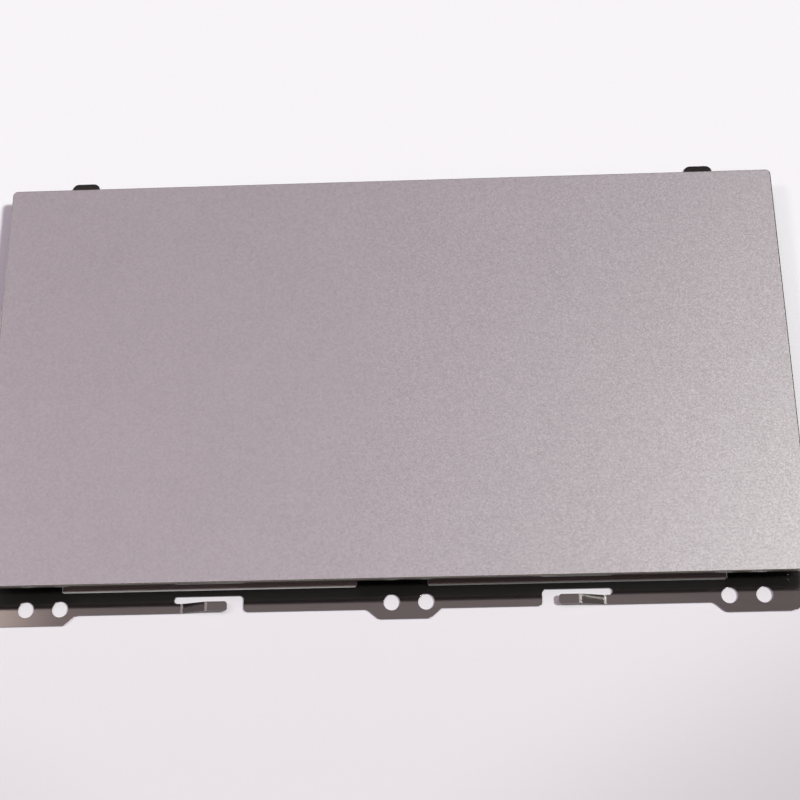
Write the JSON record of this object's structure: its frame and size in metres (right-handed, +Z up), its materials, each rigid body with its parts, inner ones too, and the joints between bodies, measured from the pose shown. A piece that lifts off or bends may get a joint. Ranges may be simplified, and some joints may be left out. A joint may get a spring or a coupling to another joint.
{
  "type": "laptop trackpad module",
  "caption": "Clickable laptop trackpad: a satin metallic touch plate on a sensor board, hinged on spring leaves over a flat stamped bracket with screw lugs and grounding arms.",
  "frame": {"origin": "centre of the outline at the underside of the bracket", "axes": "+X to the user's right along the long side, +Y to the rear, +Z up out of the touch face"},
  "size_m": [0.12, 0.075, 0.0049],
  "materials": {
    "bracket_steel": "black-nickel plated sheet, mirror-like",
    "spring_steel": "bright cold-rolled spring steel",
    "rivet_steel": "zinc plated",
    "striker_brass": "turned",
    "stop_rubber": "matte moulded rubber",
    "black_film": "fine matte polyester film",
    "plate_paint": "satin metallic paint with a fine sparkle",
    "adhesive": "dark pressure-sensitive adhesive",
    "board": "black solder mask on glass-fibre board",
    "tape": "double-sided tape",
    "chip": "moulded epoxy",
    "ceramic": "fired ceramic",
    "resistor": "glazed",
    "socket_resin": "moulded resin",
    "gold_contact": "gold flash",
    "tin": "tin plated",
    "latch_resin": "moulded resin",
    "switch_resin": "moulded resin",
    "dome_steel": "stainless spring steel",
    "plunger_resin": "moulded resin"
  },
  "bodies": {
    "bracket": {"bracket_plate": "bracket_steel", "hinge_leaf_left": "spring_steel", "hinge_leaf_right": "spring_steel", "leaf_rivets": "rivet_steel", "striker_stud": "striker_brass", "stop_pads": "stop_rubber", "bracket_film": "black_film"},
    "pad": {"touch_plate": "plate_paint", "plate_adhesive": "adhesive", "sensor_board": "board", "hinge_tapes": "tape", "touch_controller": "chip", "small_chips": "chip", "capacitors": "ceramic", "resistors": "resistor", "socket_housing": "socket_resin", "socket_contacts": "gold_contact", "socket_anchors": "tin", "switch_base": "switch_resin", "switch_terminals": "tin", "switch_dome": "dome_steel", "switch_cover": "tin"},
    "arm_left": {"ground_arm_left": "bracket_steel"},
    "arm_right": {"ground_arm_right": "bracket_steel"},
    "latch": {"cable_latch": "latch_resin"},
    "plunger": {"switch_plunger": "plunger_resin"}
  },
  "joints": [
    {"name": "pad_click", "type": "hinge", "parent": "bracket", "child": "pad", "pos_m": [0, 0.0296, 0.0034], "axis": [1, 0, 0], "range_deg": [0, 0.31], "stiffness_Nm_per_rad": 6, "springref_deg": -0.11},
    {"name": "switch_press", "type": "slide", "parent": "pad", "child": "plunger", "axis": [0, 0, 1], "range_m": [0, 0.0003], "deforming": ["switch_dome"]},
    {"name": "cable_latch_flip", "type": "hinge", "parent": "pad", "child": "latch", "pos_m": [-0.01965, 0.00619, 0.00267], "axis": [-1, 0, 0], "range_deg": [0, 95]},
    {"name": "left_arm_flex", "type": "hinge", "parent": "bracket", "child": "arm_left", "pos_m": [-0.03085, -0.03524, 0], "axis": [0, 1, 0], "range_deg": [0, 6.5], "stiffness_Nm_per_rad": 0.03},
    {"name": "right_arm_flex", "type": "hinge", "parent": "bracket", "child": "arm_right", "pos_m": [0.03085, -0.03524, 0], "axis": [0, -1, 0], "range_deg": [0, 6.5], "stiffness_Nm_per_rad": 0.03}
  ],
  "couplings": [
    {"joint": "switch_press", "follows": "pad_click", "m_per_rad": 0.05516}
  ]
}
